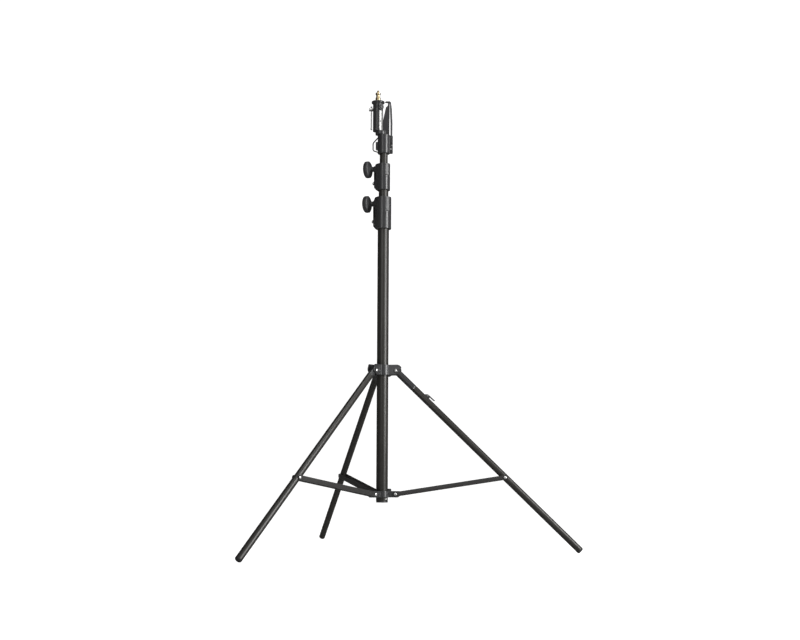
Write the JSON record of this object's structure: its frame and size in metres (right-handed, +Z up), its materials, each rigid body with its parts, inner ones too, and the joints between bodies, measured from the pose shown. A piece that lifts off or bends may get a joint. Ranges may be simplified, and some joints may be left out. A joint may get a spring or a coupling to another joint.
{
  "type": "lighting stand",
  "caption": "Folding three-section lighting stand: braced tube tripod, two knob-locked risers and an offset socket head with a 16 mm stud.",
  "frame": {"origin": "on the floor, on the column's axis, with the three feet on the floor", "axes": "+Z up along the column; +X over the levelling leg; the other legs at +120 and -120 degrees"},
  "size_m": [0.8866, 1.0206, 1.403],
  "materials": {
    "black_tube": "black anodised, satin, with a fine drawn grain along the tube",
    "black_casting": "black powder coat over die-cast aluminium, fine texture, satin",
    "black_plastic": "moulded black nylon, fine grain",
    "foot_rubber": "black moulded rubber, matt",
    "bright_steel": "zinc-plated steel",
    "grey_lever": "satin grey anodised aluminium",
    "bare_aluminium": "natural drawn aluminium tube",
    "scale_plate": "silver plate with plain graduation marks",
    "brass": "turned brass, bright",
    "black_steel": "blackened steel, satin"
  },
  "bodies": {
    "column": {"column_tube": "black_tube", "column_bottom_plug": "black_plastic", "column_plug_rivet": "bright_steel", "brace_collar": "black_casting", "brace_collar_pins": "bright_steel", "brace_collar_bolt": "bright_steel", "lower_lock_casting": "black_casting", "lower_lock_bush": "black_plastic", "lower_lock_adjuster": "bright_steel", "lower_lock_shoe": "black_plastic"},
    "leg_collar": {"leg_collar_casting": "black_casting", "leg_collar_bush": "black_plastic", "leg_hinge_pins": "bright_steel"},
    "wing_screw": {"wing_screw": "black_casting"},
    "leg_right": {"leg_right_fitting": "black_casting", "levelling_inner_tube": "bare_aluminium"},
    "levelling_leg": {"leg_right_tube": "black_tube", "leg_right_foot": "foot_rubber", "levelling_lever_mount": "black_casting", "levelling_lever_pin": "bright_steel", "levelling_brake_pad": "black_plastic"},
    "levelling_lever": {"levelling_lever": "black_plastic"},
    "leg_rear": {"leg_rear_tube": "black_tube", "leg_rear_fitting": "black_casting", "leg_rear_foot": "foot_rubber"},
    "leg_left": {"leg_left_tube": "black_tube", "leg_left_fitting": "black_casting", "leg_left_foot": "foot_rubber"},
    "brace_right": {"brace_right_straps": "black_tube", "brace_right_rivets": "bright_steel"},
    "brace_rear": {"brace_rear_straps": "black_tube", "brace_rear_rivets": "bright_steel"},
    "brace_left": {"brace_left_straps": "black_tube", "brace_left_rivets": "bright_steel"},
    "riser_1": {"riser_1_tube": "black_tube", "riser_1_guide": "black_plastic", "upper_lock_casting": "black_casting", "upper_lock_bush": "black_plastic", "upper_lock_adjuster": "bright_steel", "upper_lock_shoe": "black_plastic"},
    "riser_2": {"riser_2_tube": "black_tube", "riser_2_guide": "black_plastic", "head_block": "black_casting", "head_bracket": "black_casting", "head_socket": "black_casting", "button_bezel": "black_plastic", "scale_plate": "scale_plate", "cable_loop": "black_casting", "catch_pin": "bright_steel", "catch_spring": "bright_steel"},
    "lower_knob": {"lower_knob_head": "black_plastic", "lower_knob_screw": "bright_steel"},
    "upper_knob": {"upper_knob_head": "black_plastic", "upper_knob_screw": "bright_steel"},
    "catch_lever": {"catch_lever": "grey_lever"},
    "release_button": {"release_button": "black_plastic"},
    "tommy_screw": {"tommy_screw": "bright_steel"},
    "tommy_bar": {"tommy_bar": "bright_steel"},
    "spigot": {"spigot_shank": "black_steel", "spigot_stud": "brass"}
  },
  "joints": [
    {"name": "leg_collar_slide", "type": "slide", "parent": "column", "child": "leg_collar", "axis": [0, 0, -1], "range_m": [-0.414, 0]},
    {"name": "leg_right_hinge", "type": "hinge", "parent": "leg_collar", "child": "leg_right", "pos_m": [0.042, 0, 0.5305], "axis": [0, -1, 0], "range_deg": [-45.81, 0]},
    {"name": "leg_rear_hinge", "type": "hinge", "parent": "leg_collar", "child": "leg_rear", "pos_m": [-0.021, 0.03637, 0.5305], "axis": [0.866, 0.5, 0], "range_deg": [-45.81, 0]},
    {"name": "leg_left_hinge", "type": "hinge", "parent": "leg_collar", "child": "leg_left", "pos_m": [-0.021, -0.03637, 0.5305], "axis": [-0.866, 0.5, 0], "range_deg": [-45.81, 0]},
    {"name": "brace_right_hinge", "type": "hinge", "parent": "column", "child": "brace_right", "pos_m": [0.042, 0, 0.1645], "axis": [0, 1, 0], "range_deg": [-81.09, 0]},
    {"name": "brace_rear_hinge", "type": "hinge", "parent": "column", "child": "brace_rear", "pos_m": [-0.021, 0.03637, 0.1645], "axis": [-0.866, -0.5, 0], "range_deg": [-81.09, 0]},
    {"name": "brace_left_hinge", "type": "hinge", "parent": "column", "child": "brace_left", "pos_m": [-0.021, -0.03637, 0.1645], "axis": [0.866, -0.5, 0], "range_deg": [-81.09, 0]},
    {"name": "wing_screw_turn", "type": "hinge", "parent": "leg_collar", "child": "wing_screw", "pos_m": [0.015, 0.02598, 0.5335], "axis": [0.5, 0.866, 0], "range_deg": [0, 360]},
    {"name": "levelling_leg_slide", "type": "slide", "parent": "leg_right", "child": "levelling_leg", "axis": [0.7169, 0, -0.6972], "range_m": [0, 0.15]},
    {"name": "levelling_lever_flip", "type": "hinge", "parent": "levelling_leg", "child": "levelling_lever", "pos_m": [0.13865, 0, 0.45632], "axis": [0, -1, 0], "range_deg": [0, 80]},
    {"name": "riser_1_slide", "type": "slide", "parent": "column", "child": "riser_1", "axis": [0, 0, 1], "range_m": [0, 0.72]},
    {"name": "riser_2_slide", "type": "slide", "parent": "riser_1", "child": "riser_2", "axis": [0, 0, 1], "range_m": [0, 0.75]},
    {"name": "lower_knob_turn", "type": "hinge", "parent": "column", "child": "lower_knob", "pos_m": [-0.03932, 0.00736, 1.047], "axis": [-0.9829, 0.184, 0], "range_deg": [0, 360]},
    {"name": "upper_knob_turn", "type": "hinge", "parent": "riser_1", "child": "upper_knob", "pos_m": [-0.03932, 0.00736, 1.156], "axis": [-0.9829, 0.184, 0], "range_deg": [0, 360]},
    {"name": "catch_lever_hinge", "type": "hinge", "parent": "riser_2", "child": "catch_lever", "pos_m": [0.0217, 0.00361, 1.216], "axis": [-0.1638, 0.9865, 0], "range_deg": [0, 25], "stiffness_Nm_per_rad": 0.6, "springref_deg": -5.73},
    {"name": "release_button_press", "type": "slide", "parent": "riser_2", "child": "release_button", "axis": [-0.6747, 0.7381, 0], "range_m": [0, 0.0028], "stiffness_N_per_m": 300},
    {"name": "tommy_screw_turn", "type": "hinge", "parent": "riser_2", "child": "tommy_screw", "pos_m": [-0.03788, -0.00629, 1.342], "axis": [-0.9865, -0.1638, 0], "range_deg": [-140, 140]},
    {"name": "tommy_bar_slide", "type": "slide", "parent": "tommy_screw", "child": "tommy_bar", "axis": [0, 0, 1], "range_m": [0, 0.053]},
    {"name": "spigot_lift", "type": "slide", "parent": "riser_2", "child": "spigot", "axis": [0, 0, 1], "range_m": [0, 0.1]}
  ],
  "couplings": [
    {"joint": "leg_right_hinge", "follows": "leg_collar_slide", "rad_per_m": 1.9308},
    {"joint": "leg_rear_hinge", "follows": "leg_collar_slide", "rad_per_m": 1.9308},
    {"joint": "leg_left_hinge", "follows": "leg_collar_slide", "rad_per_m": 1.9308},
    {"joint": "brace_right_hinge", "follows": "leg_collar_slide", "rad_per_m": 3.418},
    {"joint": "brace_rear_hinge", "follows": "leg_collar_slide", "rad_per_m": 3.418},
    {"joint": "brace_left_hinge", "follows": "leg_collar_slide", "rad_per_m": 3.418}
  ]
}
